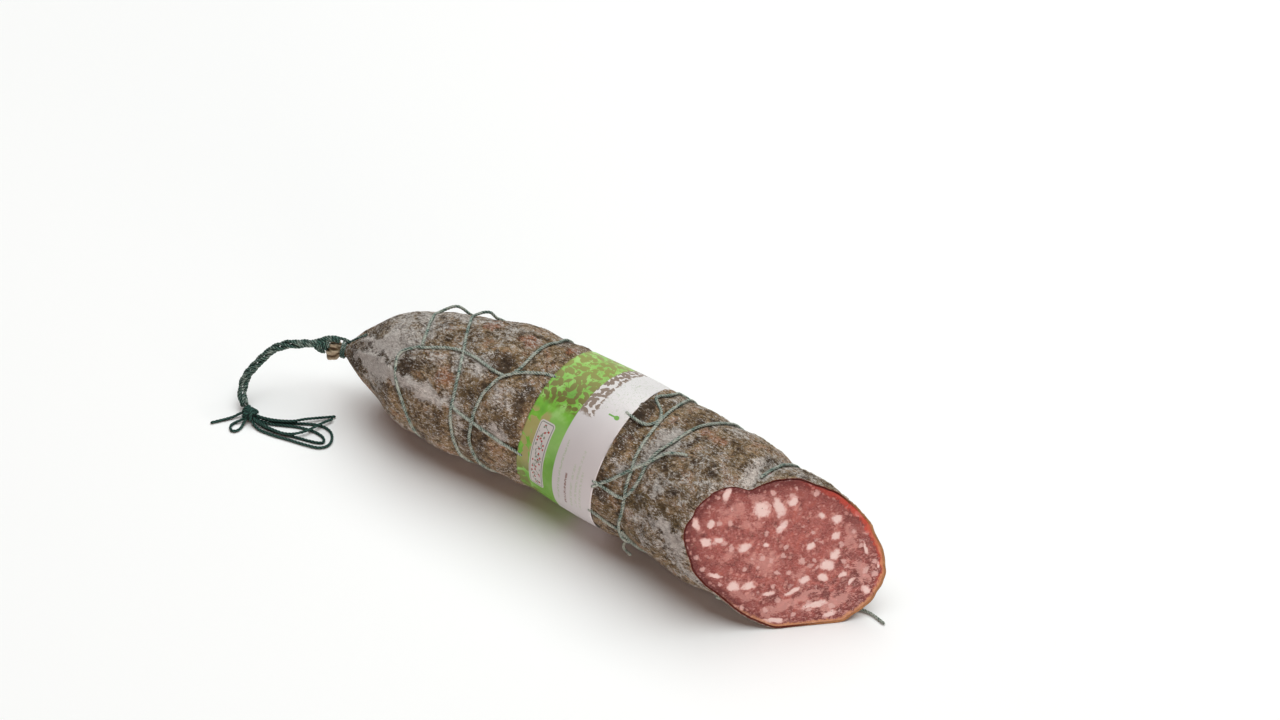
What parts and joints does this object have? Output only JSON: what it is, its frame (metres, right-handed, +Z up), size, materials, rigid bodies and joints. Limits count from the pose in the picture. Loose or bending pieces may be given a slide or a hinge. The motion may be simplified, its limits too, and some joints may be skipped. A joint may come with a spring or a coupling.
{
  "type": "cured sausage",
  "caption": "Half of a large cured sausage lying on its side: gathered and tied neck with a hanging cord, twine lacing, paper band and a slanting cut that shows the meat.",
  "frame": {"origin": "on the resting surface, under the middle of the sausage and its lacing without the hanging cord", "axes": "+X from the tied neck to the cut end, +Z up, +Y towards the side away from the cut face"},
  "size_m": [0.3806, 0.1263, 0.0813],
  "materials": {
    "casing": "dry, wrinkled gut with powdery grey-white mould over brown",
    "meat": "moist cut meat, rose-red with pinkish-white fat",
    "band": "printed paper, green and pale grey, slight sheen",
    "twine": "thin twisted twine, grey-green, dusted with mould",
    "cord": "twisted dark green string"
  },
  "bodies": {
    "root": {"casing": "casing", "filling": "meat", "paper_band": "band", "neck_tie": "cord", "hoop_1": "twine", "hoop_2": "twine", "hoop_3": "twine", "hoop_4": "twine", "hoop_5": "twine", "hoop_6": "twine", "upper_link_1": "twine", "upper_link_2": "twine", "upper_link_3": "twine", "upper_link_4": "twine", "lower_link_2": "twine", "lower_link_3": "twine", "lower_link_4": "twine", "slack_strand": "twine", "brace_strand": "twine", "lower_brace": "twine", "knotted_tail": "twine", "cut_twine_end": "twine", "hanging_cord": "cord", "cord_knot": "cord", "bow_loop_outer": "cord", "bow_loop_inner": "cord", "bow_end_upper": "cord", "bow_end_lower": "cord", "small_loop": "cord", "cord_end": "cord"}
  },
  "joints": []
}
